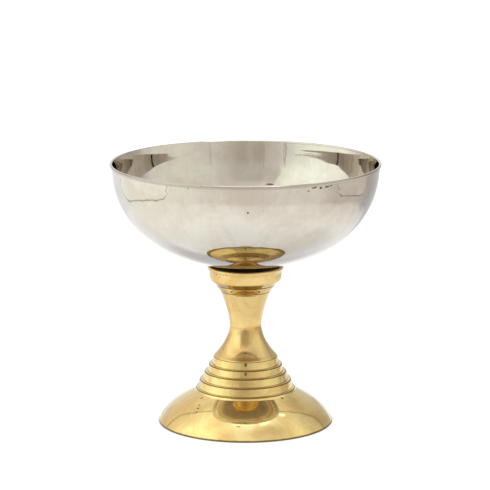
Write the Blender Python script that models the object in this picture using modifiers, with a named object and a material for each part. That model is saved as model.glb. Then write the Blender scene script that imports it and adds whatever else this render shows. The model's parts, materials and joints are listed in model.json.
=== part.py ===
"""Communion chalice: a wide spun bowl of polished white metal on a turned brass stand.

The stand is a stack of turned pieces on one axis: a domed foot, four step
rings, a waisted stem, a neck ring and a collar.  A tie rod runs from the stem
down through the rings and the foot and is closed below by washers and a nut.
The bowl carries a boss and a threaded stud, and screws into the stem from
above through the collar.

Frame: metres, +Z up, origin on the axis of the piece at the plane it stands
on.  All dimensions below are in millimetres.
"""

import math

import bmesh
import bpy
from mathutils import Matrix

MM = 0.001
GAP = 0.3                      # clearance kept between neighbouring pieces

# ---------------------------------------------------------------- bowl
RIM_Z = 146.7                  # height of the chalice over the rim
RIM_R = 75.0                   # outside radius of the rim
BOWL_R = 74.05                 # radius of the bowl wall below the rim flare
BOWL_POLE_Z = 88.7             # underside of the bowl on the axis
BOWL_ROUND_A = 2.225           # roundness of the bowl section, vertical
BOWL_ROUND_B = 2.078           # roundness of the bowl section, horizontal
BOWL_WALL = 1.3                # thickness of the spun sheet
FLARE_Z = 141.0                # the rim flares outward above this height

# ---------------------------------------------------------------- fixing
STUD_R = 4.0                   # M8 stud and tie rod
BORE_R = STUD_R + GAP
BOSS_R = 9.0
BOSS_TOP_Z = 88.4
BOSS_BOTTOM_Z = 86.5
STUD_BOTTOM_Z = 66.0
STEM_TOP_BORE_Z = 64.0         # blind end of the tapped hole for the stud

# ---------------------------------------------------------------- collar
COLLAR_TOP_Z = 89.0
COLLAR_LIP_R = 21.45           # widest point of the flared lip
COLLAR_WALL_TOP_R = 20.35
COLLAR_WALL_FOOT_R = 19.7
COLLAR_CORNER_Z = 80.9         # the wall ends here and the chamfer starts
COLLAR_FLOOR_Z = 87.3          # floor of the shallow dish below the bowl
COLLAR_BOTTOM_Z = 78.55
COLLAR_BOTTOM_R = 17.05

# ---------------------------------------------------------------- neck ring
NECK_TOP_Z = COLLAR_BOTTOM_Z - GAP
NECK_TOP_R = 16.85
NECK_BOTTOM_Z = 74.9
NECK_BOTTOM_R = 14.45

# ---------------------------------------------------------------- stem
STEM_TOP_Z = NECK_BOTTOM_Z - GAP
STEM_TOP_R = 14.2
WAIST_Z = 55.2
WAIST_R = 8.93
TRUMPET_TOP_Z = 73.0
TRUMPET_GROWTH, TRUMPET_POWER = 0.057, 1.52    # radius above the waist
FLARE_GROWTH, FLARE_POWER = 0.0399, 1.881      # radius below the waist
STEM_BOTTOM_Z = 37.35
ROD_TOP_Z = 57.0
STEM_LOW_BORE_Z = 58.5         # blind end of the tapped hole for the tie rod

# ---------------------------------------------------------------- step rings
# name, top height, bottom height, radius at the top edge, radius at the foot
# of the slanting wall, radius of the rounded top edge
STEP_RINGS = (
    ("step_ring_1", 37.05, 33.50, 17.90, 18.60, 0.25),
    ("step_ring_2", 33.20, 29.30, 20.30, 21.05, 0.55),
    ("step_ring_3", 29.00, 24.80, 22.60, 23.75, 0.60),
    ("step_ring_4", 24.50, 20.10, 25.35, 26.40, 0.60),
)

# ---------------------------------------------------------------- foot
FOOT_TOP_Z = 19.8
FOOT_SHOULDER_R = 28.1         # the dome starts below the rounded shoulder
FOOT_SHOULDER_Z = 18.1
FOOT_R = 48.7
FOOT_FALL, FOOT_ROUND = 11.6, 3.68             # straight fall, then rounding
FOOT_LAND = 0.6                # height of the plain edge at the very bottom
FOOT_WALL = 2.0
FOOT_PLATE = 3.4               # thickness of the flat centre below the rings

# ---------------------------------------------------------------- fastening
WASHER_R, WASHER_T = 11.0, 1.6
LOCK_R, LOCK_T, LOCK_SLOT = 7.2, 2.0, 1.2
NUT_FLATS, NUT_H = 13.0, 6.5
ROD_BOTTOM_Z = 3.4

STEPS_LARGE = 48
STEPS_MEDIUM = 40
STEPS_SMALL = 24


# ------------------------------------------------------------------ helpers
def clear_scene():
    for obj in list(bpy.data.objects):
        bpy.data.objects.remove(obj, do_unlink=True)


def new_collection(name):
    coll = bpy.data.collections.new(name)
    bpy.context.scene.collection.children.link(coll)
    return coll


def metal(name, colour, roughness):
    mat = bpy.data.materials.new(name)
    mat.use_nodes = True
    bsdf = mat.node_tree.nodes["Principled BSDF"]
    bsdf.inputs["Base Color"].default_value = (*colour, 1.0)
    bsdf.inputs["Metallic"].default_value = 1.0
    bsdf.inputs["Roughness"].default_value = roughness
    mat.diffuse_color = (*colour, 1.0)
    return mat


def turned(name, section, coll, mat, steps, closed=False):
    """Revolve a section of (radius, height) points about the vertical axis.

    The section runs down its outer side.  A closed section gives a ring, an
    open one starts and ends on the axis.
    """
    mesh = bpy.data.meshes.new(name)
    verts = [(r * MM, 0.0, z * MM) for r, z in section]
    edges = [(i, i + 1) for i in range(len(verts) - 1)]
    if closed:
        edges.append((len(verts) - 1, 0))
    mesh.from_pydata(verts, edges, [])
    obj = bpy.data.objects.new(name, mesh)
    coll.objects.link(obj)
    mesh.materials.append(mat)
    screw = obj.modifiers.new("Turned", "SCREW")
    screw.axis = "Z"
    screw.angle = math.tau
    screw.steps = steps
    screw.render_steps = steps
    screw.use_merge_vertices = True
    screw.merge_threshold = 0.00001
    screw.use_smooth_shade = True
    return obj


def settle(obj, angle=32.0):
    """Replace the object's mesh by its evaluated shape, smooth with crisp edges."""
    deps = bpy.context.evaluated_depsgraph_get()
    mesh = bpy.data.meshes.new_from_object(obj.evaluated_get(deps))
    mesh.name = obj.name
    obj.modifiers.clear()
    obj.data = mesh
    mesh.shade_smooth()
    mesh.set_sharp_from_angle(angle=math.radians(angle))


def cut(obj, cutter):
    mod = obj.modifiers.new("Cut_" + cutter.name, "BOOLEAN")
    mod.operation = "DIFFERENCE"
    mod.object = cutter
    mod.solver = "EXACT"


def as_cutter(obj):
    obj.hide_render = True
    obj.display_type = "WIRE"
    return obj


def arc(cx, cz, radius, start, end, count):
    """Points on a circular arc in the section plane, angles in degrees."""
    pts = []
    for i in range(count + 1):
        a = math.radians(start + (end - start) * i / count)
        pts.append((cx + radius * math.cos(a), cz + radius * math.sin(a)))
    return pts


def offset(points, distance):
    """Points moved to the right of their direction of travel."""
    out = []
    last = len(points) - 1
    for i, (r, z) in enumerate(points):
        ra, za = points[max(i - 1, 0)]
        rb, zb = points[min(i + 1, last)]
        dr, dz = rb - ra, zb - za
        length = math.hypot(dr, dz)
        out.append((r + dz / length * distance, z - dr / length * distance))
    return out


# ----------------------------------------------------------------- sections
def bowl_radius(t):
    """Outside radius at the share t of the depth, 0 at the rim and 1 at the pole."""
    return BOWL_R * max(1.0 - t ** BOWL_ROUND_A, 0.0) ** (1.0 / BOWL_ROUND_B)


def rim_flare(z):
    s = min(max((z - FLARE_Z) / (RIM_Z - 0.7 - FLARE_Z), 0.0), 1.0)
    return (RIM_R - BOWL_R) * s * s * (3.0 - 2.0 * s)


def bowl_section(count=17):
    """Outside from the rim to the pole, then inside from the axis to the rim."""
    depth = RIM_Z - BOWL_POLE_Z
    outer = []
    for i in range(count + 1):
        t = math.sin(0.5 * math.pi * i / count) ** (2.0 / BOWL_ROUND_A)
        z = RIM_Z - t * depth
        outer.append((bowl_radius(t) + rim_flare(z), z))
    # a bright round lip: the outside starts a little below the rim
    outer = [p for p in outer if p[1] < RIM_Z - 1.2]
    lip_r = RIM_R - 0.7
    lip = arc(lip_r, RIM_Z - 0.7, 0.7, 90.0, 0.0, 3)
    outer = lip + outer
    outer[-1] = (0.0, BOWL_POLE_Z)
    wall = [p for p in outer if p[1] < RIM_Z - 1.0]
    inner = offset(wall, BOWL_WALL)
    inner = [(max(r, 0.0), z) for r, z in inner]
    inner[-1] = (0.0, BOWL_POLE_Z + BOWL_WALL)
    inner.reverse()
    top_inner = (RIM_R - 1.55, RIM_Z - 0.35)
    inner = [p for p in inner if p[1] < RIM_Z - 1.2]
    # outer side top to bottom, then the inside back up to the lip
    return outer, inner + [top_inner]


def trumpet(z):
    if z >= WAIST_Z:
        return WAIST_R + TRUMPET_GROWTH * (z - WAIST_Z) ** TRUMPET_POWER
    return WAIST_R + FLARE_GROWTH * (WAIST_Z - z) ** FLARE_POWER


def foot_height(r):
    u = (r - FOOT_SHOULDER_R) / (FOOT_R - FOOT_SHOULDER_R)
    rest = FOOT_SHOULDER_Z - FOOT_LAND - FOOT_FALL
    return FOOT_SHOULDER_Z - FOOT_FALL * u - rest * u ** FOOT_ROUND


# ------------------------------------------------------------------- pieces
def make_bowl(coll, mat):
    outer, inner = bowl_section()
    # one closed skin: from the axis up the inside, over the lip, down the outside
    section = inner[:-1] + [inner[-1]] + outer
    return turned("bowl", section, coll, mat, STEPS_LARGE)


def make_boss(coll, mat):
    section = [
        (0.0, BOSS_TOP_Z),
        (BOSS_R - 0.5, BOSS_TOP_Z),
        (BOSS_R, BOSS_TOP_Z - 0.4),
        (BOSS_R, BOSS_BOTTOM_Z + 0.4),
        (BOSS_R - 0.4, BOSS_BOTTOM_Z),
        (0.0, BOSS_BOTTOM_Z),
    ]
    return turned("bowl_boss", section, coll, mat, STEPS_MEDIUM)


def make_stud(coll, mat):
    top = BOSS_BOTTOM_Z - GAP
    section = [
        (0.0, top),
        (STUD_R, top),
        (STUD_R, STUD_BOTTOM_Z + 1.0),
        (STUD_R - 1.0, STUD_BOTTOM_Z),
        (0.0, STUD_BOTTOM_Z),
    ]
    return turned("bowl_stud", section, coll, mat, STEPS_SMALL)


def make_collar(coll, mat):
    """A drum with a thin flared lip, a shallow dish on top and a chamfer below."""
    seat_r = BOSS_R + 0.4
    seat_z = BOSS_BOTTOM_Z - GAP
    dish_r = 19.3
    section = [
        (seat_r, COLLAR_FLOOR_Z),
        (dish_r - 0.5, COLLAR_FLOOR_Z),
        (dish_r + 0.3, COLLAR_FLOOR_Z + 0.45),
        (20.25, COLLAR_TOP_Z - 0.15),
        (20.60, COLLAR_TOP_Z),
        (21.05, COLLAR_TOP_Z - 0.25),
        (21.35, COLLAR_TOP_Z - 0.75),
        (COLLAR_LIP_R, COLLAR_TOP_Z - 1.3),
        (21.30, COLLAR_TOP_Z - 1.9),
        (20.90, COLLAR_TOP_Z - 2.6),
        (20.60, COLLAR_TOP_Z - 3.2),
        (COLLAR_WALL_TOP_R, COLLAR_TOP_Z - 4.3),
        (20.05, 82.8),
        (COLLAR_WALL_FOOT_R, COLLAR_CORNER_Z),
        (COLLAR_WALL_FOOT_R - 0.3, COLLAR_CORNER_Z - 0.4),
        (COLLAR_BOTTOM_R + 0.2, COLLAR_BOTTOM_Z + 0.15),
        (COLLAR_BOTTOM_R - 0.2, COLLAR_BOTTOM_Z),
        (BORE_R, COLLAR_BOTTOM_Z),
        (BORE_R, seat_z),
        (seat_r, seat_z),
    ]
    return turned("collar", section, coll, mat, STEPS_MEDIUM, closed=True)


def make_neck_ring(coll, mat):
    section = [
        (NECK_TOP_R - 0.25, NECK_TOP_Z),
        (NECK_TOP_R, NECK_TOP_Z - 0.25),
        (NECK_TOP_R - 0.15, NECK_TOP_Z - 0.9),
        (NECK_TOP_R - 0.50, NECK_TOP_Z - 1.4),
        (15.75, 76.35),
        (15.10, 75.70),
        (NECK_BOTTOM_R + 0.15, NECK_BOTTOM_Z + 0.15),
        (NECK_BOTTOM_R - 0.15, NECK_BOTTOM_Z),
        (BORE_R, NECK_BOTTOM_Z),
        (BORE_R, NECK_TOP_Z),
    ]
    return turned("neck_ring", section, coll, mat, STEPS_MEDIUM, closed=True)


def make_stem(coll, mat):
    """Waisted spool with a blind tapped hole at each end."""
    section = [
        (0.0, STEM_TOP_BORE_Z),
        (BORE_R, STEM_TOP_BORE_Z),
        (BORE_R, STEM_TOP_Z),
        (STEM_TOP_R - 0.2, STEM_TOP_Z),
        (STEM_TOP_R, STEM_TOP_Z - 0.2),
        (STEM_TOP_R - 0.15, STEM_TOP_Z - 0.8),
    ]
    upper, lower = 6, 9
    for i in range(upper):
        z = TRUMPET_TOP_Z + (WAIST_Z - TRUMPET_TOP_Z) * i / upper
        section.append((trumpet(z), z))
    for i in range(lower + 1):
        z = WAIST_Z + (STEM_BOTTOM_Z + 0.1 - WAIST_Z) * i / lower
        section.append((trumpet(z), z))
    section += [
        (trumpet(STEM_BOTTOM_Z) - 0.25, STEM_BOTTOM_Z),
        (BORE_R, STEM_BOTTOM_Z),
        (BORE_R, STEM_LOW_BORE_Z),
        (0.0, STEM_LOW_BORE_Z),
    ]
    return turned("stem", section, coll, mat, STEPS_MEDIUM)


def make_step_ring(coll, mat, name, top, bottom, top_r, foot_r, edge):
    """A disc with a slanting wall and a rounded top edge, bored for the rod."""
    lean = math.degrees(math.atan2(foot_r - top_r, top - edge - bottom))
    section = arc(top_r - edge, top - edge, edge, 90.0, lean * 0.5, 3)
    section += [
        (foot_r, bottom + 0.2),
        (foot_r - 0.2, bottom),
        (BORE_R, bottom),
        (BORE_R, top),
    ]
    return turned(name, section, coll, mat, STEPS_MEDIUM, closed=True)


def make_foot(coll, mat):
    """Domed foot: a flat centre with a round shoulder, then a falling skirt."""
    count = 9
    outer = []
    for i in range(count + 1):
        u = (i / count) ** 0.8
        r = FOOT_SHOULDER_R + (FOOT_R - FOOT_SHOULDER_R) * u
        outer.append((r, foot_height(r)))
    shoulder = [
        (26.9, FOOT_TOP_Z),
        (27.45, FOOT_TOP_Z - 0.2),
        (27.85, FOOT_TOP_Z - 0.75),
    ]
    inner = offset([(27.6, FOOT_SHOULDER_Z + 0.3)] + outer, FOOT_WALL)
    inner = [p for p in inner if p[1] > 0.8]
    inner = [p for p in inner if p[1] < FOOT_TOP_Z - FOOT_PLATE - 0.25]
    edge_r = FOOT_R - FOOT_WALL - 0.2
    section = shoulder + outer + [(FOOT_R, 0.0), (edge_r, 0.0)]
    section += list(reversed(inner))
    section += [
        (inner[0][0] - 1.2, FOOT_TOP_Z - FOOT_PLATE),
        (BORE_R, FOOT_TOP_Z - FOOT_PLATE),
        (BORE_R, FOOT_TOP_Z),
    ]
    return turned("foot", section, coll, mat, STEPS_LARGE, closed=True)


def make_tie_rod(coll, mat):
    section = [
        (0.0, ROD_TOP_Z),
        (STUD_R - 1.0, ROD_TOP_Z),
        (STUD_R, ROD_TOP_Z - 1.0),
        (STUD_R, ROD_BOTTOM_Z + 1.0),
        (STUD_R - 1.0, ROD_BOTTOM_Z),
        (0.0, ROD_BOTTOM_Z),
    ]
    return turned("tie_rod", section, coll, mat, STEPS_SMALL)


def make_washer(coll, mat, top):
    section = [
        (WASHER_R - 0.3, top),
        (WASHER_R, top - 0.3),
        (WASHER_R, top - WASHER_T),
        (BORE_R, top - WASHER_T),
        (BORE_R, top),
    ]
    return turned("foot_washer", section, coll, mat, STEPS_MEDIUM, closed=True)


def make_lock_washer(coll, cutters, mat, top):
    """Split spring washer: a square ring opened by a slanting slot."""
    section = [
        (LOCK_R, top),
        (LOCK_R, top - LOCK_T),
        (BORE_R, top - LOCK_T),
        (BORE_R, top),
    ]
    obj = turned("lock_washer", section, coll, mat, STEPS_SMALL, closed=True)
    bpy.ops.mesh.primitive_cube_add(size=1.0)
    slot = bpy.context.active_object
    slot.name = "lock_washer_slot"
    slot.data.transform(
        Matrix.Diagonal(
            (6.0 * MM, LOCK_SLOT * MM, 6.0 * MM, 1.0)))
    slot.location = ((BORE_R + LOCK_R) * 0.5 * MM, 0.0, (top - LOCK_T * 0.5) * MM)
    slot.rotation_euler = (math.radians(24.0), 0.0, 0.0)
    for c in list(slot.users_collection):
        c.objects.unlink(slot)
    cutters.objects.link(slot)
    as_cutter(slot)
    cut(obj, slot)
    return obj


def make_nut(coll, cutters, mat, top):
    """Plain hexagon nut with chamfered corners and a clear bore."""
    across_corners = NUT_FLATS / math.cos(math.radians(30.0))
    mesh = bpy.data.meshes.new("foot_nut")
    bm = bmesh.new()
    bmesh.ops.create_cone(bm, cap_ends=True, segments=6,
                          radius1=across_corners * 0.5 * MM,
                          radius2=across_corners * 0.5 * MM, depth=NUT_H * MM)
    bm.to_mesh(mesh)
    bm.free()
    mesh.materials.append(mat)
    obj = bpy.data.objects.new("foot_nut", mesh)
    coll.objects.link(obj)
    obj.location = (0.0, 0.0, (top - NUT_H * 0.5) * MM)

    low, high = top - NUT_H - 1.0, top + 1.0
    bore = turned("foot_nut_bore", [(0.0, high), (BORE_R, high),
                                    (BORE_R, low), (0.0, low)],
                  cutters, mat, STEPS_SMALL)
    as_cutter(bore)
    corner = across_corners * 0.5
    flat = NUT_FLATS * 0.5
    for tag, z0, sign in (("top", top, 1.0), ("bottom", top - NUT_H, -1.0)):
        # ring that trims the six corners to a cone of 30 degrees
        drop = (corner - flat + 0.15) * math.tan(math.radians(30.0))
        a, b = (flat - 0.15, z0), (corner + 0.6, z0 - sign * (drop + 0.35))
        c, d = (corner + 0.6, z0 + sign * 1.0), (flat - 0.15, z0 + sign * 1.0)
        loop = [d, c, b, a] if sign > 0 else [a, b, c, d]
        ring = turned("foot_nut_trim_" + tag, loop, cutters, mat, STEPS_MEDIUM,
                      closed=True)
        as_cutter(ring)
        cut(obj, ring)
    cut(obj, bore)
    return obj


# -------------------------------------------------------------------- build
def main():
    clear_scene()
    coll = new_collection("communion_chalice")
    cutters = new_collection("cutters")

    white_metal = metal("polished_white_metal", (0.74, 0.71, 0.67), 0.12)
    brass = metal("polished_brass", (0.83, 0.62, 0.27), 0.14)
    aged_brass = metal("turned_brass", (0.78, 0.57, 0.25), 0.20)
    steel = metal("zinc_plated_steel", (0.62, 0.61, 0.58), 0.35)

    stand = bpy.data.objects.new("stand_axis", None)
    coll.objects.link(stand)
    cup = bpy.data.objects.new("cup_axis", None)
    coll.objects.link(cup)

    cup_pieces = [
        make_bowl(coll, white_metal),
        make_boss(coll, white_metal),
        make_stud(coll, steel),
    ]
    stand_pieces = [
        make_collar(coll, brass),
        make_neck_ring(coll, brass),
        make_stem(coll, brass),
    ]
    for ring in STEP_RINGS:
        stand_pieces.append(make_step_ring(coll, aged_brass, *ring))
    stand_pieces.append(make_foot(coll, brass))
    stand_pieces.append(make_tie_rod(coll, steel))

    level = FOOT_TOP_Z - FOOT_PLATE - GAP
    stand_pieces.append(make_washer(coll, brass, level))
    level -= WASHER_T + GAP
    stand_pieces.append(make_lock_washer(coll, cutters, steel, level))
    level -= LOCK_T + GAP
    stand_pieces.append(make_nut(coll, cutters, steel, level))

    bpy.context.view_layer.update()
    for piece in cup_pieces + stand_pieces:
        settle(piece)
    for piece in cup_pieces:
        piece.parent = cup
    for piece in stand_pieces:
        piece.parent = stand


main()
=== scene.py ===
"""Looks of the communion chalice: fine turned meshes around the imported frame, metals, light, camera."""
import json
import math

import bpy
import numpy as np
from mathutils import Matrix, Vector


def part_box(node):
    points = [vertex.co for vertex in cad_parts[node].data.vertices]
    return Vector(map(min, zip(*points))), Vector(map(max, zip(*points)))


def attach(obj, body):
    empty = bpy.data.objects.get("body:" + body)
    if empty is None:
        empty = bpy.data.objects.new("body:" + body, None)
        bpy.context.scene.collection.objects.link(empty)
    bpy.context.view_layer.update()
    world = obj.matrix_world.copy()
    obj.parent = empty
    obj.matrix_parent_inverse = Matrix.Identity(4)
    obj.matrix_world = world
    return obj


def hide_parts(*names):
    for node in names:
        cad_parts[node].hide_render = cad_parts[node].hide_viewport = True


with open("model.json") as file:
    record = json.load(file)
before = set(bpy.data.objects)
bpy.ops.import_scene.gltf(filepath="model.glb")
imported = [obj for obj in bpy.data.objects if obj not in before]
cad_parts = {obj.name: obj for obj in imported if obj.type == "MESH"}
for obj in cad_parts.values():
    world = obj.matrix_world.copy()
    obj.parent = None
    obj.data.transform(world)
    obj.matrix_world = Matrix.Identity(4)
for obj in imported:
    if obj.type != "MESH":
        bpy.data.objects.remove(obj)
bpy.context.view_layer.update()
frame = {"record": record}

MM = 0.001
TAU = math.tau
BODY_OF = {n: b for b, ns in frame["record"]["behaviour"]["bodies"].items() for n in ns}


# ============================================================ frame measures
def node_mm(name):
    """(low, high) corners of a CAD node in millimetres."""
    lo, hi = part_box(name)
    return np.array(lo) * 1000.0, np.array(hi) * 1000.0


BOWL_LO, BOWL_HI = node_mm("bowl")
RIM_Z, RIM_R = BOWL_HI[2], BOWL_HI[0]
POLE_Z = BOWL_LO[2]
BOWL_R = RIM_R - 0.90
CURL = 6.0                    # height of the part that leans out to the lip
WALL = 1.3
FOOT_R = node_mm("foot")[1][0]
FOOT_TOP = node_mm("foot")[1][2]
JOINT_GAP = 0.07               # what still shows between two fitted pieces


# =================================================================== meshes
def lathe(name, section, segs, bend=None, closed=False, start=0.0, sweep=TAU, sharp=34.0):
    """Revolve a dense (radius, height) section, in mm, about Z.

    bend(r, z, theta, nr, nz) -> (dr, dz), in mm, moves each point and is what
    gives the pieces their real unevenness.  An open section starts and ends on
    the axis.
    """
    P = np.array(section, float)
    n = len(P)
    nxt, prv = np.roll(P, -1, 0), np.roll(P, 1, 0)
    if not closed:
        nxt[-1], prv[0] = P[-1], P[0]
    tan = nxt - prv
    tan /= np.maximum(np.linalg.norm(tan, axis=1, keepdims=True), 1e-9)
    nr, nz = -tan[:, 1], tan[:, 0]                 # outward normal of a section run top to bottom
    full = abs(sweep - TAU) < 1e-6
    cols = segs if full else segs + 1
    th = start + sweep * np.arange(cols) / segs
    R = np.repeat(P[:, 0][:, None], cols, 1)
    Z = np.repeat(P[:, 1][:, None], cols, 1)
    T = np.repeat(th[None, :], n, 0)
    if bend is not None:
        dr, dz = bend(R, Z, T, nr[:, None], nz[:, None])
        R, Z = R + dr, Z + dz
    on_axis = P[:, 0] < 1e-6
    index = np.full((n, cols), -1, int)
    verts = []
    count = 0
    for i in range(n):
        if on_axis[i]:
            verts.append(np.array([[0.0, 0.0, Z[i].mean()]]))
            index[i, :] = count
            count += 1
        else:
            verts.append(np.stack([R[i] * np.cos(th), R[i] * np.sin(th), Z[i]], -1))
            index[i] = count + np.arange(cols)
            count += cols
    verts = np.concatenate(verts) * MM
    faces = []
    rows = n if closed else n - 1
    last = cols if full else cols - 1
    j = np.arange(last)
    j2 = (j + 1) % cols
    for i in range(rows):
        a, b = index[i], index[(i + 1) % n]
        if on_axis[i] and on_axis[(i + 1) % n]:
            continue
        if on_axis[i]:
            faces.append(np.stack([b[j], b[j2], a[j], a[j]], 1))
        elif on_axis[(i + 1) % n]:
            faces.append(np.stack([a[j], b[j], a[j2], a[j2]], 1))
        else:
            faces.append(np.stack([a[j], b[j], b[j2], a[j2]], 1))
    faces = np.concatenate(faces)
    lists = [tuple(dict.fromkeys(int(v) for v in f)) for f in faces]
    if not full:
        ring = [int(index[i, 0]) for i in range(n)]
        lists.append(tuple(ring))
        lists.append(tuple(int(index[i, -1]) for i in range(n))[::-1])
    mesh = bpy.data.meshes.new(name)
    mesh.from_pydata([tuple(v) for v in verts], [], lists)
    mesh.validate()
    mesh.shade_smooth()
    mesh.set_sharp_from_angle(angle=math.radians(sharp))
    obj = bpy.data.objects.new(name, mesh)
    bpy.context.scene.collection.objects.link(obj)
    return obj


def arc(cx, cz, radius, a0, a1, n):
    a = np.radians(np.linspace(a0, a1, n + 1))
    return list(zip(cx + radius * np.cos(a), cz + radius * np.sin(a)))


def line(p, q, n):
    """n points from p on, without q."""
    return [(p[0] + (q[0] - p[0]) * i / n, p[1] + (q[1] - p[1]) * i / n) for i in range(n)]


def rounded(points, radii, n=5):
    """A polyline with its inner corners rounded.  radii has one number a point."""
    pts = [np.array(p, float) for p in points]
    out = []
    for i, p in enumerate(pts):
        r = radii[i]
        if i in (0, len(pts) - 1) or r <= 0:
            out.append(tuple(p))
            continue
        u, v = pts[i - 1] - p, pts[i + 1] - p
        lu, lv = np.linalg.norm(u), np.linalg.norm(v)
        u, v = u / lu, v / lv
        cut = min(r, 0.48 * lu, 0.48 * lv)
        for k in range(n + 1):
            s = k / n
            a, b = p + u * cut, p + v * cut
            q = (1 - s) ** 2 * a + 2 * s * (1 - s) * p + s * s * b
            out.append((float(q[0]), float(q[1])))
    return out


def refine(points, step):
    """Extra points on long straight runs, so that unevenness can follow them."""
    out = []
    for p, q in zip(points[:-1], points[1:]):
        d = math.hypot(q[0] - p[0], q[1] - p[1])
        out += line(p, q, max(1, int(math.ceil(d / step))))
    return out + [points[-1]]


def shift(points, distance):
    """The curve moved to the right of its direction of travel."""
    P = np.array(points, float)
    t = np.gradient(P, axis=0)
    t /= np.linalg.norm(t, axis=1, keepdims=True)
    return np.stack([P[:, 0] + t[:, 1] * distance, P[:, 1] - t[:, 0] * distance], 1)


class Waves:
    """Smooth unevenness on a body of revolution: a seeded sum of low waves."""

    def __init__(self, seed, amount, count, orders, lengths):
        rng = np.random.default_rng(seed)
        self.m = rng.integers(orders[0], orders[1] + 1, count)
        self.k = TAU / rng.uniform(lengths[0], lengths[1], count) * rng.choice([-1, 1], count)
        self.p = rng.uniform(0, TAU, count)
        self.a = rng.uniform(0.4, 1.0, count)
        # short waves are lower, so that all of them tilt the surface alike
        self.a *= 1.0 / (1.0 + np.abs(self.k) * 4.0 + self.m * 0.12)
        self.a *= amount / math.sqrt(float((self.a ** 2).sum()) * 0.5)

    def __call__(self, theta, s):
        total = np.zeros(np.broadcast(theta, s).shape)
        for m, k, p, a in zip(self.m, self.k, self.p, self.a):
            total += a * np.sin(m * theta + k * s + p)
        return total


def thread_lathe(name, radius, depth, pitch, z0, z1, segs=48, chamfer=0.9):
    """A screw thread with flat crests and roots, chamfered at both ends."""
    n = int((z1 - z0) / (pitch / 14.0))
    zs = np.linspace(z1, z0, n)
    body = [(0.0, z1)] + [(radius, z) for z in zs] + [(0.0, z0)]

    def bend(R, Z, T, nr, nz):
        phase = (Z / pitch - T / TAU) % 1.0
        tooth = np.abs(phase * 2.0 - 1.0)
        tooth = np.clip((tooth - 0.12) / 0.76, 0, 1)
        groove = depth * (1.0 - tooth)
        end = np.minimum(z1 - Z, Z - z0)
        limit = radius - np.clip(chamfer - end, 0, chamfer)
        r = np.minimum(radius - groove, limit)
        return np.where(R > 0, r - R, 0.0), np.zeros_like(Z)

    return lathe(name, body, segs, bend, sharp=60.0)


# ------------------------------------------------------------------ bowl
def bowl_outer(curled=True):
    """Outside of the bowl from just under the lip to the pole."""
    depth = RIM_Z - POLE_Z
    z = np.concatenate([np.linspace(RIM_Z - 0.9, RIM_Z - 3.0, 18), np.linspace(RIM_Z - 3.25, RIM_Z - 12.0, 32)])
    u0 = math.asin(((RIM_Z - z[-1]) / depth) ** (2.225 / 2.0))
    t = np.concatenate([(RIM_Z - z) / depth, np.sin(np.linspace(u0, math.pi / 2, 150)[1:]) ** (2.0 / 2.225)])
    z = RIM_Z - t * depth
    r = BOWL_R * np.clip(1.0 - t ** 2.225, 0, 1) ** (1.0 / 2.078)
    if curled:
        s = np.clip((z - (RIM_Z - CURL)) / (CURL - 0.8), 0, 1)
        bead = np.clip((z - (RIM_Z - 1.9)) / 1.0, 0, 1)
        r = r + 0.38 * s ** 1.3 + 0.51 * bead * bead * (3 - 2 * bead)
    pts = [(float(a), float(b)) for a, b in zip(r, z)]
    pts[-1] = (0.0, POLE_Z)
    return pts


LEAN_LIP, LEAN_RATE = 5.9, 0.20


def open_mouth(inner):
    """Inside of the wall near the lip.  It stands steepest 5 mm down, leaning out
    by 7 degrees, and leans out more both above and below."""
    P = np.array(sorted(inner, key=lambda p: p[1]))
    r, z = P[:, 0].copy(), P[:, 1]
    for i in range(1, len(P)):
        depth = RIM_Z - z[i]
        if depth > 22.0:
            continue
        out = min(max((5.2 - depth) / 3.8, 0.0), 1.0)
        lean = math.tan(math.radians(LEAN_LIP + LEAN_RATE * max(depth, 5.2) + 4.0 * out * out * (3 - 2 * out)))
        own = (P[i, 0] - P[i - 1, 0]) / max(z[i] - z[i - 1], 1e-6)
        r[i] = r[i - 1] + max(own, lean) * (z[i] - z[i - 1])
    return [(float(a), float(b)) for a, b in zip(r, z)][::-1]


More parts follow.
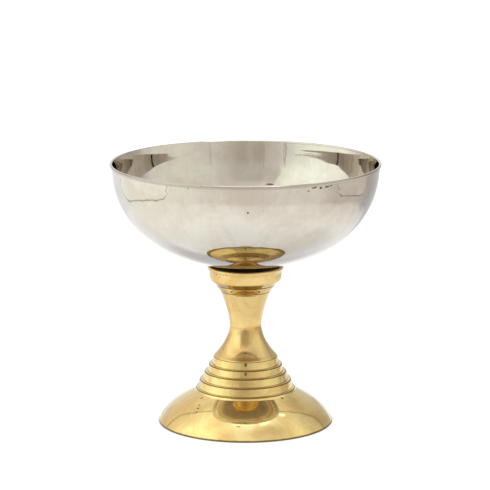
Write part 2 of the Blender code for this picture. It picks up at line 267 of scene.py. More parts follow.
def make_bowl():
    outer = bowl_outer()
    inner = shift(bowl_outer(False), WALL)
    inner = [(max(float(r), 0.0), float(z)) for r, z in inner if r > 0.4]
    inner = open_mouth(inner)
    inner.append((0.0, POLE_Z + WALL))
    inner.reverse()
    # lip: a round bead
    (ri, zi), (ro, zo) = inner[-1], outer[0]
    lip = []
    for k in range(1, 14):
        a = math.pi * (1.0 - k / 14.0)
        mid, half = (ri + ro) / 2, (ro - ri) / 2
        base = zi + (zo - zi) * k / 14.0
        lip.append((mid + half * math.cos(a), base + (RIM_Z - base) * math.sin(a)))
    section = inner + lip + outer
    wave = Waves(7, 0.026, 26, (0, 9), (22.0, 90.0))
    fine = Waves(19, 0.0062, 22, (3, 40), (5.0, 16.0))
    spin = Waves(5, 0.0016, 12, (0, 1), (2.2, 6.0))
    length = np.concatenate([[0], np.cumsum(np.hypot(*np.diff(np.array(section), axis=0).T))])
    half = len(inner) + 6

    def bend(R, Z, T, nr, nz):
        # the same wave runs through both faces of the sheet
        s = length[:, None] * np.ones_like(R)
        inside = np.arange(len(section))[:, None] < half
        s_in = s
        s_out = (2 * length[half] - s)
        run = np.where(inside, s_in, s_out)
        fade = np.clip((RIM_Z - 0.8 - Z) / 4.0, 0, 1)
        axis = np.clip(R / 12.0, 0, 1)
        a = (wave(T, run) + fine(T, run + np.where(inside, 0, 31.0)) + spin(T, run)) * axis
        a = a * np.where(inside, -1.0, 1.0)          # normals point opposite ways on the two faces
        side = (T - math.radians(62.0) + math.pi) % TAU - math.pi
        a = a - np.where(inside, 0.15 * np.exp(-(side / 0.6) ** 2) * np.clip((Z - 118.0) / 28.0, 0, 1), 0.0)
        a = a * (0.25 + 0.75 * fade)
        a = np.where(Z > RIM_Z - 0.8, np.minimum(a, 0.0) * 0.3, a)
        keep_in = np.clip((RIM_R - 0.05 - R) / 0.3, 0, 1)
        a = np.where((a > 0) & (nr > 0), a * keep_in, a)
        return a * nr, a * nz

    return lathe("bowl_shell", section, 352, bend, sharp=50.0)


# ------------------------------------------------------------------ stand
WAIST_Z, WAIST_R = 55.2, 8.93


def trumpet(z):
    z = np.asarray(z, float)
    up = WAIST_R + 0.057 * np.clip(z - WAIST_Z, 0, None) ** 1.52
    dn = WAIST_R + 0.0399 * np.clip(WAIST_Z - z, 0, None) ** 1.881
    return np.where(z >= WAIST_Z, up, dn)


def brass_bend(seed, amount, ridge):
    wave = Waves(seed, amount, 14, (0, 5), (9.0, 40.0))
    spin = Waves(seed + 1, ridge, 16, (0, 0), (0.9, 3.0))

    def bend(R, Z, T, nr, nz):
        run = Z * 1.3 + R
        a = (wave(T, run) + spin(T, run)) * np.clip((R - 6.0) / 4.0, 0, 1)
        a = a - amount - ridge
        return a * nr, a * nz
    return bend


def make_collar():
    lo, hi = node_mm("collar")
    top, bottom = hi[2] - 0.2, lo[2] - 0.22
    pts = [
        (9.4, 87.3), (18.9, 87.3), (19.7, 87.55), (20.3, top - 0.1), (20.65, top),
        (21.0, top - 0.2), (21.28, top - 0.6), (21.3, top - 1.0), (21.15, top - 1.5),
        (20.86, top - 2.1), (20.6, top - 2.6), (20.34, top - 3.5), (20.05, 82.8),
        (19.7, 80.95), (17.15, 78.65), (16.95, bottom), (4.3, bottom), (4.3, 86.2), (9.4, 86.2),
    ]
    rad = [0, 0.7, 0.5, 0.2, 0.3, 0.5, 0.5, 0.5, 0.6, 0.8, 0.9, 1.2, 1.0, 0.55, 0.25, 0.12, 0.1, 0.1, 0.1]
    pts = refine(rounded(pts, rad, 5), 0.45)
    return lathe("collar_drum", pts, 192, brass_bend(31, 0.012, 0.0012), closed=True)


def make_neck_ring():
    lo, hi = node_mm("neck_ring")
    top, bottom = hi[2], lo[2] - 0.22
    pts = [
        (16.55, top), (16.72, top - 0.15), (16.5, top - 0.55), (16.1, top - 1.2), (15.55, 76.3),
        (15.0, 75.65), (14.6, bottom + 0.3), (14.4, bottom), (4.3, bottom), (4.3, top),
    ]
    rad = [0, 0.2, 0.5, 0.4, 0.5, 0.5, 0.3, 0.12, 0.1, 0.1]
    pts = refine(rounded(pts, rad, 5), 0.35)
    return lathe("neck_bead", pts, 192, brass_bend(33, 0.006, 0.0012), closed=True)


def make_stem():
    lo, hi = node_mm("stem")
    top, bottom = hi[2], lo[2] - 0.22
    side = [(14.0, top), (14.12, top - 0.12), (13.95, top - 0.5), (13.62, top - 1.1)]
    side = rounded([(13.0, top)] + side + [(float(trumpet(72.8)), 72.8)], [0, 0.15, 0.2, 0.4, 0.5, 0], 5)
    zs = np.linspace(72.5, bottom + 0.35, 96)
    side += [(float(r), float(z)) for r, z in zip(trumpet(zs), zs)]
    edge = float(trumpet(bottom + 0.35))
    side += [(edge + 0.05, bottom + 0.12), (edge - 0.1, bottom)]
    pts = [(0.0, 64.0), (4.3, 64.0), (4.3, top)] + side + [(4.3, bottom), (4.3, 58.5), (0.0, 58.5)]
    return lathe("stem_spool", pts, 192, brass_bend(35, 0.016, 0.0016))


def make_ring(node, top_r, foot_r, edge, seed):
    lo, hi = node_mm(node)
    top, bottom = hi[2], lo[2] - 0.26
    pts = [(4.3, top), (top_r, top), (foot_r, bottom), (4.3, bottom)]
    pts = rounded(pts, [0, edge, 0.03, 0], 9)
    pts = refine(pts, 0.45)[:-1] + [(4.3, bottom)]
    return lathe(node + "_turned", pts, 192, brass_bend(seed, 0.008, 0.0014), closed=True)


def foot_height(r):
    u = np.clip((r - 28.1) / (FOOT_R - 28.1), 0, 1)
    return 18.1 - 11.6 * u - (18.1 - 0.6 - 11.6) * u ** 3.68


def make_foot():
    top = FOOT_TOP
    rs = 28.1 + (FOOT_R - 28.1) * np.linspace(0, 1, 80) ** 0.85
    dome = [(float(r), float(z)) for r, z in zip(rs, foot_height(rs))]
    shoulder = rounded([(20.0, top), (27.55, top), (28.1, 18.1), dome[3]], [0, 0.75, 0.5, 0], 8)[:-1]
    outer = shoulder + dome[4:]
    outer = outer[:-1] + [(FOOT_R, 0.62), (FOOT_R, 0.12), (FOOT_R - 0.12, 0.0)]
    inner = shift([(27.6, 18.4)] + dome, 2.0)
    inner = [(float(r), float(z)) for r, z in inner if 0.8 < z < top - 3.4 - 0.3]
    inner = [(FOOT_R - 2.2, 0.0), (FOOT_R - 2.25, 0.15)] + inner[::-1]
    inner += rounded([inner[-1], (inner[-1][0] - 1.2, top - 3.4), (4.3, top - 3.4), (4.3, top)],
                     [0, 0.8, 0.15, 0], 5)[1:]
    pts = outer + inner
    wave = Waves(51, 0.030, 20, (0, 6), (12.0, 50.0))
    spin = Waves(53, 0.0016, 18, (0, 0), (1.0, 3.4))
    cast = Waves(57, 0.035, 30, (2, 60), (2.0, 9.0))
    k = len(outer)

    def bend(R, Z, T, nr, nz):
        under = (np.arange(len(pts))[:, None] >= k) * np.ones_like(R)
        low = np.clip((Z - 0.7) / 2.0, 0, 1)
        a = (wave(T, R) + spin(T, R)) * np.clip((R - 26) / 4, 0, 1) * (1 - under)
        a = a + under * cast(T, R) * np.clip((R - 12) / 4, 0, 1)
        a = (a - 0.03) * low
        return a * nr, a * nz

    return lathe("foot_dome", pts, 320, bend, closed=True)


# ------------------------------------------------------------- fastenings
def make_boss():
    lo, hi = node_mm("bowl_boss")
    pts = rounded([(0.0, hi[2]), (hi[0], hi[2]), (hi[0], lo[2]), (0.0, lo[2])], [0, 0.4, 0.35, 0], 5)
    return lathe("boss_disc", pts, 128)


def make_stud():
    lo, hi = node_mm("bowl_stud")
    return thread_lathe("stud_thread", 4.0, 0.62, 1.25, lo[2], hi[2] + 0.28)


def make_rod():
    lo, hi = node_mm("tie_rod")
    return thread_lathe("rod_thread", 4.0, 0.62, 1.25, lo[2], hi[2])


def make_washer():
    lo, hi = node_mm("foot_washer")
    pts = rounded([(4.3, hi[2]), (hi[0], hi[2]), (hi[0], lo[2]), (4.3, lo[2])], [0, 0.3, 0.5, 0], 5)
    return lathe("washer_disc", refine(pts, 1.2), 128, closed=True)


def make_lock_washer():
    lo, hi = node_mm("lock_washer")
    r, z0, z1 = hi[0], lo[2] + 0.28, hi[2] - 0.28
    pts = rounded([(4.45, z1), (r, z1), (r, z0), (4.45, z0), (4.45, z1)], [0, 0.2, 0.2, 0.2, 0], 4)[:-1]

    def bend(R, Z, T, nr, nz):
        return np.zeros_like(R), 0.25 * (T - math.pi) / math.pi

    return lathe("lock_ring", pts, 110, bend, closed=True, start=0.11, sweep=TAU - 0.22)


def make_nut():
    lo, hi = node_mm("foot_nut")
    flat, corner, z0, z1 = 6.5, 6.5 / math.cos(math.pi / 6), lo[2], hi[2]
    zs = [z1, z1, z1 - 0.25, z1 - 0.5, z1 - 0.8] + list(np.linspace(z1 - 1.2, z0 + 1.2, 8)) + \
         [z0 + 0.8, z0 + 0.5, z0 + 0.25, z0, z0]
    n_in = 60
    pts = [(4.4, z1), (6.2, z1)] + [(7.5, z) for z in zs[1:-1]] + [(6.2, z0), (4.4, z0)]
    first_in = len(pts)
    pts += [(4.12, z0 + 0.35 + (z1 - z0 - 0.7) * i / n_in) for i in range(n_in + 1)]

    def bend(R, Z, T, nr, nz):
        idx = np.arange(len(pts))[:, None] * np.ones_like(R)
        a = (T + math.pi / 6) % (math.pi / 3) - math.pi / 6
        hexr = flat / np.cos(a)
        end = np.minimum(z1 - Z, Z - z0)
        cone = flat - 0.15 + end / math.tan(math.radians(30))
        outer = np.minimum(np.minimum(hexr, cone), corner - 0.06)
        r = np.where((idx >= 2) & (idx < first_in - 2), outer, R)
        phase = (Z / 1.25 - T / TAU) % 1.0
        inner = 4.08 + 0.22 * np.abs(phase * 2 - 1)
        r = np.where(idx >= first_in, inner, r)
        return r - R, np.zeros_like(Z)

    return lathe("nut_hex", pts, 144, bend, closed=True, sharp=25.0)


PIECES = {
    "bowl": make_bowl(),
    "bowl_boss": make_boss(),
    "bowl_stud": make_stud(),
    "collar": make_collar(),
    "neck_ring": make_neck_ring(),
    "stem": make_stem(),
    "step_ring_1": make_ring("step_ring_1", 17.98, 18.62, 0.20, 41),
    "step_ring_2": make_ring("step_ring_2", 20.42, 21.10, 0.85, 43),
    "step_ring_3": make_ring("step_ring_3", 22.75, 23.80, 0.90, 45),
    "step_ring_4": make_ring("step_ring_4", 25.50, 26.45, 0.90, 47),
    "foot": make_foot(),
    "tie_rod": make_rod(),
    "foot_washer": make_washer(),
    "lock_washer": make_lock_washer(),
    "foot_nut": make_nut(),
}
for node, piece in PIECES.items():
    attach(piece, BODY_OF[node])
    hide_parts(node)


# ================================================================ materials
class Graph:
    """Short forms for building a node tree."""

    def __init__(self, tree):
        self.tree, self.nodes, self.links = tree, tree.nodes, tree.links

    def put(self, socket, value):
        if value is None:
            return
        if isinstance(value, bpy.types.NodeSocket):
            self.links.new(value, socket)
        elif isinstance(value, (tuple, list)) and socket.type == "RGBA" and len(value) == 3:
            socket.default_value = (*value, 1.0)
        else:
            socket.default_value = value

    def math(self, op, a, b=None, c=None, clamp=False):
        n = self.nodes.new("ShaderNodeMath")
        n.operation, n.use_clamp = op, clamp
        for k, v in enumerate((a, b, c)):
            self.put(n.inputs[k], v)
        return n.outputs[0]

    def add(self, a, b): return self.math("ADD", a, b)
    def sub(self, a, b): return self.math("SUBTRACT", a, b)
    def mul(self, a, b): return self.math("MULTIPLY", a, b)
    def least(self, a, b): return self.math("MINIMUM", a, b)
    def most(self, a, b): return self.math("MAXIMUM", a, b)

    def smooth(self, x, a, b, lo=0.0, hi=1.0):
        n = self.nodes.new("ShaderNodeMapRange")
        n.interpolation_type = "SMOOTHSTEP"
        for k, v in zip(("Value", "From Min", "From Max", "To Min", "To Max"), (x, a, b, lo, hi)):
            self.put(n.inputs[k], v)
        return n.outputs[0]

    def band(self, x, centre, half, soft):
        """1 within half of centre, fading to 0 over soft."""
        d = self.math("ABSOLUTE", self.sub(x, centre))
        return self.smooth(d, half, half + soft, 1.0, 0.0)

    def mix(self, f, a, b, kind="MIX"):
        n = self.nodes.new("ShaderNodeMix")
        n.data_type, n.blend_type = "RGBA", kind
        self.put(n.inputs[0], f)
        self.put(n.inputs[6], a)
        self.put(n.inputs[7], b)
        return n.outputs[2]

    def ramp(self, x, stops, mode="EASE"):
        n = self.nodes.new("ShaderNodeValToRGB")
        r = n.color_ramp
        r.interpolation = mode
        while len(r.elements) < len(stops):
            r.elements.new(0.5)
        for e, (p, c) in zip(r.elements, sorted(stops, key=lambda q: q[0])):
            e.position = p
            e.color = (*c, 1.0) if isinstance(c, (tuple, list)) else (c, c, c, 1.0)
        self.put(n.inputs[0], x)
        return n.outputs[0]

    def vec(self, x, y, z):
        n = self.nodes.new("ShaderNodeCombineXYZ")
        for k, v in enumerate((x, y, z)):
            self.put(n.inputs[k], v)
        return n.outputs[0]

    def split(self, v):
        n = self.nodes.new("ShaderNodeSeparateXYZ")
        self.links.new(v, n.inputs[0])
        return n.outputs[0], n.outputs[1], n.outputs[2]

    def noise(self, v, scale=1.0, detail=2.0, rough=0.5, distortion=0.0):
        n = self.nodes.new("ShaderNodeTexNoise")
        n.noise_dimensions = "3D"
        self.put(n.inputs["Vector"], v)
        n.inputs["Scale"].default_value = scale
        n.inputs["Detail"].default_value = detail
        n.inputs["Roughness"].default_value = rough
        n.inputs["Distortion"].default_value = distortion
        return n.outputs[0]

    def dots(self, v, scale, feature="F1"):
        n = self.nodes.new("ShaderNodeTexVoronoi")
        n.feature = feature
        self.put(n.inputs["Vector"], v)
        n.inputs["Scale"].default_value = scale
        return n.outputs[0]

    def coords(self):
        """Object position in mm: x, y, z, radius and angle about the axis."""
        n = self.nodes.new("ShaderNodeTexCoord")
        m = self.nodes.new("ShaderNodeVectorMath")
        m.operation = "SCALE"
        self.links.new(n.outputs["Object"], m.inputs[0])
        m.inputs["Scale"].default_value = 1000.0
        v = m.outputs[0]
        x, y, z = self.split(v)
        r = self.math("SQRT", self.add(self.mul(x, x), self.mul(y, y)))
        th = self.math("ARCTAN2", y, x)
        return v, x, y, z, r, th

    def ring_vector(self, r, th, z, around, up, cut=1.0):
        """A seamless vector that runs fast along r and z, or fast around the axis."""
        c, s = self.math("COSINE", th), self.math("SINE", th)
        return self.vec(self.mul(c, around), self.mul(s, around), self.mul(self.add(self.mul(z, cut), r), up))

    def bump(self, height, distance, strength=1.0, under=None):
        n = self.nodes.new("ShaderNodeBump")
        n.inputs["Strength"].default_value = strength
        n.inputs["Distance"].default_value = distance
        self.put(n.inputs["Height"], height)
        if under is not None:
            self.links.new(under, n.inputs["Normal"])
        return n.outputs[0]


def metal(name):
    mat = bpy.data.materials.new(name)
    mat.use_nodes = True
    g = Graph(mat.node_tree)
    b = mat.node_tree.nodes["Principled BSDF"]
    b.inputs["Metallic"].default_value = 1.0
    return mat, g, b


def tint(c, f):
    return tuple(a * b for a, b in zip(c, f))


NICKEL = (0.575, 0.535, 0.482)
YELLOW = (0.700, 0.531, 0.226)


def bearing(deg):
    """Angle about the axis of a point seen deg to the right of the front (-Y)."""
    return math.radians(deg - 90.0)


def blemishes(g, r, th, z, spots):
    """Small dents, stain marks, painted shade and painted reflections: (bearing, height, half width, half height),
    in degrees and mm.
    """
    total = None
    for deg, z0, w, h in spots:
        u = g.mul(g.mul(g.sub(th, bearing(deg)), r), 1.0 / w)
        v = g.mul(g.sub(z, z0), 1.0 / h)
        d = g.add(g.mul(u, u), g.mul(v, v))
        m = g.smooth(d, 0.45, 1.3, 1.0, 0.0)
        total = m if total is None else g.most(total, m)
    return total


def silver_material(name="bowl_silver"):
    mat, g, b = metal(name)
    v, x, y, z, r, th = g.coords()
    # clouds of haze from handling and old polish
    cloud = g.noise(v, 0.035, 5.0, 0.6, 0.8)
    small = g.noise(v, 0.20, 4.0, 0.65, 0.4)
    haze = g.smooth(g.add(g.mul(cloud, 0.70), g.mul(small, 0.30)), 0.40, 0.60)
    colour = g.mix(haze, tint(NICKEL, (0.93, 0.895, 0.87)), tint(NICKEL, (1.03, 1.025, 1.02)))
    # streaks down the wall and rings left by spinning
    streak = g.noise(g.ring_vector(r, th, z, 26.0, 0.035), 1.0, 3.0, 0.6)
    spin = g.noise(g.ring_vector(r, th, z, 0.6, 2.4), 1.0, 3.0, 0.65)
    colour = g.mix(g.smooth(streak, 0.52, 0.75, 0.0, 0.22), colour, tint(NICKEL, (0.80, 0.75, 0.70)))
    colour = g.mix(g.smooth(spin, 0.54, 0.70, 0.0, 0.16), colour, tint(NICKEL, (0.82, 0.78, 0.74)))
    # painted dark reflection in a line under the lip, nicks beside it, and specks
    under = g.mul(g.band(z, 145.6, 0.7, 0.4), g.smooth(r, 73.9, 74.1))
    colour = g.mix(g.mul(under, 0.55), colour, tint(NICKEL, (0.50, 0.43, 0.36)))
    nicks = blemishes(g, r, th, z, [(29.2, 144.2, 1.5, 0.42), (30.0, 144.6, 0.6, 0.3), (32.5, 143.8, 0.95, 0.7), (35.6, 144.0, 1.7, 0.45),
                                    (37.6, 144.3, 1.0, 0.28), (26.7, 142.7, 0.6, 0.35), (1.0, 132.2, 0.6, 0.55), (-24.0, 144.3, 0.4, 0.3),
                                    (168.0, 122.3, 2.6, 0.42)])
    nicks = g.mul(nicks, g.smooth(r, 66.0, 67.0))
    colour = g.mix(g.mul(nicks, 0.88), colour, (0.03, 0.022, 0.02))
    # thin dark upright streaks high on the back of the wall
    runs = blemishes(g, r, th, z, [(162.4, 140.5, 0.4, 5.5), (171.5, 138.0, 0.3, 8.0), (-158.0, 139.0, 0.3, 5.0)])
    colour = g.mix(g.mul(runs, 0.38), colour, tint(NICKEL, (0.45, 0.40, 0.36)))
    speck = g.smooth(g.dots(v, 0.11), 0.012, 0.05, 1.0, 0.0)
    colour = g.mix(g.mul(speck, 0.6), colour, (0.09, 0.07, 0.06))
    g.put(b.inputs["Base Color"], colour)
    rough = g.add(g.smooth(haze, 0.0, 1.0, 0.038, 0.018), g.smooth(streak, 0.5, 0.8, 0.0, 0.02))
    g.put(b.inputs["Roughness"], rough)
    scratch = g.noise(g.ring_vector(r, th, z, 5.0, 9.0), 1.0, 2.0, 0.7)
    g.put(b.inputs["Normal"], g.bump(g.add(g.mul(spin, 0.6), g.mul(scratch, 0.2)), 0.00001, 0.35))
    return mat


def brass_material(name, seed=0.0, warm=0.0, grime_and_shade_lines=(), edge=None, below=None, spots=(), hollow_shade=None, painted_shade_patches=(), light=1.0):
    """grime_and_shade_lines: (height, half width) of dark lines in the joints, painted shade with some grime.
    edge: (height, least radius) of a painted dark reflection line under a rounded top edge.  below: height under
    which the colour is darkened, a painted contact shade.
    hollow_shade: (height, from radius, to radius) of painted shade in a hollow.  painted_shade_patches: like
    spots, but soft and weak: painted shade and a painted dark reflection."""
    mat, g, b = metal(name)
    v, x, y, z, r, th = g.coords()
    w = g.vec(g.add(x, seed), y, z)
    cloud = g.noise(w, 0.055, 5.0, 0.6, 0.9)
    fine = g.noise(w, 0.40, 4.0, 0.65)
    grit = g.noise(w, 1.6, 2.0, 0.6)
    # light makes the same brass lighter or darker piece by piece: painted light and shade
    base = tint(YELLOW, (light * (1.0 - 0.02 * warm), light * (1.0 - 0.10 * warm), light * (1.0 - 0.10 * warm)))
    colour = g.mix(g.smooth(cloud, 0.40, 0.64), tint(base, (1.03, 1.04, 1.04)), tint(base, (0.90, 0.81, 0.74)))
    turned = g.noise(g.ring_vector(r, th, z, 0.5, 3.2), 1.0, 3.0, 0.7)
    colour = g.mix(g.smooth(turned, 0.54, 0.72, 0.0, 0.26), colour, tint(base, (0.72, 0.60, 0.46)))
    colour = g.mix(g.smooth(fine, 0.58, 0.74, 0.0, 0.34), colour, tint(base, (0.78, 0.66, 0.52)))
    rough = g.add(g.smooth(cloud, 0.35, 0.7, 0.045, 0.10), g.smooth(fine, 0.5, 0.8, 0.0, 0.05))
    dirt_and_painted_shade = None
    ragged = g.mul(g.sub(fine, 0.5), 0.5)
    # painted shade in the joints between pieces, with some grime
    for z0, half in grime_and_shade_lines:
        m = g.band(g.add(z, g.mul(ragged, 0.5)), z0, half, 0.16)
        dirt_and_painted_shade = m if dirt_and_painted_shade is None else g.most(dirt_and_painted_shade, m)
    # painted dark reflection in a line under a rounded top edge
    if edge:
        m = g.mul(g.band(g.add(z, g.mul(ragged, 0.4)), edge[0], 0.17, 0.20), g.smooth(r, edge[1], edge[1] + 0.2))
        dirt_and_painted_shade = m if dirt_and_painted_shade is None else g.most(dirt_and_painted_shade, m)
    # painted contact shade: darker under this height
    if below is not None:
        m = g.smooth(g.add(z, ragged), below, below + 0.5, 1.0, 0.0)
        dirt_and_painted_shade = m if dirt_and_painted_shade is None else g.most(dirt_and_painted_shade, m)
    # painted shade in the collar's hollow, next to its lip
    if hollow_shade:
        m = g.mul(g.smooth(z, hollow_shade[0] - 0.5, hollow_shade[0] - 0.1), g.band(r, (hollow_shade[1] + hollow_shade[2]) / 2, (hollow_shade[2] - hollow_shade[1]) / 2 - 0.2, 0.4))
        dirt_and_painted_shade = m if dirt_and_painted_shade is None else g.most(dirt_and_painted_shade, m)
        rough = g.add(rough, g.mul(m, 0.45))
    # pits and dents, and on the rings painted reflections of the camera lens
    if spots:
        m = blemishes(g, r, th, z, spots)
        dirt_and_painted_shade = m if dirt_and_painted_shade is None else g.most(dirt_and_painted_shade, m)
    speck = g.mul(g.smooth(g.dots(w, 0.16), 0.015, 0.06, 1.0, 0.0), 0.8)
    dirt_and_painted_shade = speck if dirt_and_painted_shade is None else g.most(dirt_and_painted_shade, speck)
    # real grime and specks, painted shade and painted dark reflections all darken the brass here
    colour = g.mix(g.mul(dirt_and_painted_shade, 0.86), colour, (0.085, 0.040, 0.012))
    rough = g.add(rough, g.mul(dirt_and_painted_shade, 0.25))
    # painted shade and a painted dark reflection in soft, weak patches
    if painted_shade_patches:
        m = blemishes(g, r, th, z, painted_shade_patches)
        colour = g.mix(g.mul(m, 0.45), colour, tint(base, (0.55, 0.52, 0.42)))
        rough = g.add(rough, g.mul(m, 0.10))
    g.put(b.inputs["Base Color"], colour)
    g.put(b.inputs["Roughness"], rough)
    height = g.add(g.add(turned, g.mul(fine, 0.3)), g.mul(grit, 0.1))
    g.put(b.inputs["Normal"], g.bump(g.sub(height, g.mul(dirt_and_painted_shade, 2.0)), 0.00001, 0.4))
    return mat


def steel_material(name):
    mat, g, b = metal(name)
    v, x, y, z, r, th = g.coords()
    cloud = g.noise(v, 0.35, 4.0, 0.6, 0.5)
    colour = g.mix(g.smooth(cloud, 0.4, 0.65), (0.52, 0.50, 0.46), (0.66, 0.65, 0.62))
    g.put(b.inputs["Base Color"], colour)
    g.put(b.inputs["Roughness"], g.smooth(cloud, 0.3, 0.7, 0.38, 0.24))
    g.put(b.inputs["Normal"], g.bump(g.noise(v, 3.0, 3.0, 0.6), 0.00003, 0.3))
    return mat


def span(node):
    lo, hi = node_mm(node)
    return float(lo[2]), float(hi[2])


def ring_look(node, line, least, seed, **more):
    # the painted dark reflection line sits this far under the ring's top
    edge = (span(node)[1] - line, least) if line else None
    return brass_material(node + "_brass", seed, 0.15, edge=edge, **more)


SILVER = silver_material()
STEEL = steel_material("steel_zinc")
C0, C1 = span("collar")
N0, N1 = span("neck_ring")
S0, S1 = span("stem")
LOOK = {
    "bowl": SILVER,
    "bowl_boss": brass_material("boss_brass", 5.0, 1.2),
    "bowl_stud": STEEL, "tie_rod": STEEL, "lock_washer": STEEL, "foot_nut": STEEL,
    # collar: painted shade in its bottom joint and in the hollow of its top, brightness lowered as painted shade,
    # and pits
    "collar": brass_material("collar_brass", 11.0, 0.5, light=0.94, grime_and_shade_lines=((C0 - 0.2, 0.14),), hollow_shade=(87.4, 9.2, 20.1),
                             spots=((-51.7, 86.0, 0.5, 0.4), (-35.2, 86.6, 0.3, 0.25), (-29.7, 86.6, 0.5, 0.2), (-41.1, 86.9, 0.35, 0.3),
                                    (-30.6, 87.4, 0.35, 0.25), (-45.0, 84.9, 0.25, 0.25), (-60, 84.0, 0.3, 0.2), (46, 85.4, 0.25, 0.2))),
    # neck ring: painted shade, with some grime, in the joints at its top and bottom
    "neck_ring": brass_material("neck_brass", 23.0, 0.9, grime_and_shade_lines=((N1 + 0.02, 0.14), (N0 - 0.15, 0.14))),
    # stem: painted shade in its top joint and low on its front, a painted dark reflection strip up its front, and
    # brightness lowered as painted shade
    "stem": brass_material("stem_brass", 31.0, 0.7, light=0.965, grime_and_shade_lines=((S1 + 0.02, 0.12),), painted_shade_patches=((0, 38.6, 13.0, 0.9), (0, 49.5, 2.6, 5.0))),
    # rings: the front spots on the first two are painted reflections of the camera lens; rings 2 to 4 get a painted
    # dark reflection line under their top edge
    "step_ring_1": ring_look("step_ring_1", 0, 0, 41.0, spots=((0.2, 36.0, 0.85, 1.1),)),
    "step_ring_2": ring_look("step_ring_2", 0.45, 19.6, 53.0, spots=((0.2, 31.4, 0.72, 1.0),)),
    "step_ring_3": ring_look("step_ring_3", 0.50, 21.9, 67.0),
    "step_ring_4": ring_look("step_ring_4", 0.50, 24.6, 71.0),
    # foot: painted dark reflection line under its shoulder, painted contact shade at its base, brightness raised as
    # painted light, and dark spots
    "foot": brass_material("foot_brass", 83.0, -0.3, light=1.09, edge=(FOOT_TOP - 0.5, 27.0), below=0.75,
                           spots=((-54.5, 17.0, 0.55, 0.4), (-47.8, 14.4, 0.5, 0.4), (-46.1, 13.1, 0.7, 0.35), (-44.2, 11.6, 0.5, 0.4),
                                  (44.9, 17.7, 0.8, 0.4), (-5, 7.6, 1.2, 0.2))),
    "foot_washer": brass_material("washer_brass", 97.0, 1.2),
}
for node, piece in PIECES.items():
    piece.data.materials.clear()
    piece.data.materials.append(LOOK[node])


# =================================================================== stage
scene = bpy.context.scene
scene.view_settings.view_transform = "Standard"
scene.view_settings.look = "None"

SKY = 1.6          # the ramps hold radiance divided by this


def compass(g, x, y):
    """0 to 1 round the horizon; 0.5 is the camera's side (-Y), more than that is +X."""
    return g.add(g.mul(g.math("ARCTAN2", x, g.mul(y, -1.0)), 1.0 / TAU), 0.5)


def around(stops):
    """Stops given by bearing in degrees, with a radiance or a colour."""
    out = []
    for a, c in stops:
        c = c if isinstance(c, (tuple, list)) else (c, c, c)
        out.append(((a + 180.0) / 360.0, tuple(q / SKY for q in c)))
    return out


COOL = (0.98, 1.0, 1.06)
PINK = (1.02, 0.97, 0.93)


def c_(v, t=(1, 1, 1)):
    return tuple(v * q for q in t)


world = bpy.data.worlds.new("studio")
scene.world = world
world.use_nodes = True
g = Graph(world.node_tree)
bg = world.node_tree.nodes["Background"]
dirn = g.nodes.new("ShaderNodeTexCoord").outputs["Generated"]
wob = g.sub(g.noise(dirn, 2.2, 3.0, 0.55), 0.5)
wob2 = g.sub(g.noise(dirn, 6.0, 2.0, 0.5), 0.5)
dx, dy, dz = g.split(dirn)
comp = g.add(compass(g, dx, dy), g.mul(wob, 0.02))
elev = g.add(g.mul(g.math("ARCSINE", dz), 180.0 / math.pi), g.mul(wob, 6.0))
IVORY = (1.0, 0.985, 0.90)
low = g.ramp(comp, around([(-180, c_(.95, COOL)), (-160, c_(.90, COOL)), (-140, c_(.88, PINK)), (-128, 1.0), (-90, (1.58, 1.68, 1.57)),
                           (-65, (1.51, 1.63, 1.50)), (-50, (1.27, 1.35, 1.21)), (-37, (1.10, 1.13, 1.05)), (-28, (.91, .89, .83)),
                           (-18, (.84, .81, .745)), (-16, (.68, .66, .59)), (4, (.695, .665, .59)), (16, (.835, .82, .75)),
                           (34, (.99, .99, .93)), (62, (1.11, 1.14, 1.02)), (92, (1.04, 1.04, 1.0)), (112, c_(.66, PINK)),
                           (128, c_(.52, PINK)), (140, c_(.54, PINK)), (160, c_(.68, COOL)), (179, c_(.95, COOL))]))
mid = g.ramp(comp, around([(-180, c_(1.0, COOL)), (-140, c_(1.0, PINK)), (-129, 1.15), (-90, (1.58, 1.67, 1.60)), (-65, (1.58, 1.70, 1.60)),
                           (-50, (1.53, 1.64, 1.50)), (-35, (1.32, 1.38, 1.24)), (-31, (.91, .89, .84)), (-12, (.80, .80, .74)),
                           (8, (.82, .82, .77)), (22, (.97, .99, .92)), (36, (1.04, 1.08, .99)), (62, (1.05, 1.09, .97)),
                           (92, (1.12, 1.15, 1.06)), (122, .76), (131, c_(.62, PINK)), (150, c_(.68, PINK)), (179, c_(1.0, COOL))]))
high = g.ramp(comp, around([(-180, 1.06), (-140, 1.06), (-129, 1.25), (-90, c_(1.5, IVORY)), (-65, c_(1.40, IVORY)), (-50, c_(1.32, IVORY)),
                            (-34, c_(1.24, IVORY)), (-12, 1.18), (10, 1.10), (30, 1.02), (60, .86),
                            (92, 1.12), (122, .95), (131, c_(.90, PINK)), (150, c_(.92, PINK)), (179, 1.06)]))
sky = g.mix(g.smooth(elev, 8.0, 24.0), low, mid)
sky = g.mix(g.smooth(elev, 38.0, 54.0), sky, high)
sky = g.mix(g.smooth(elev, 60.0, 72.0), sky, (1.34 / SKY, 1.42 / SKY, 1.52 / SKY))
sky = g.mix(g.smooth(elev, 72.0, 80.0), sky, c_(3.0 / SKY))
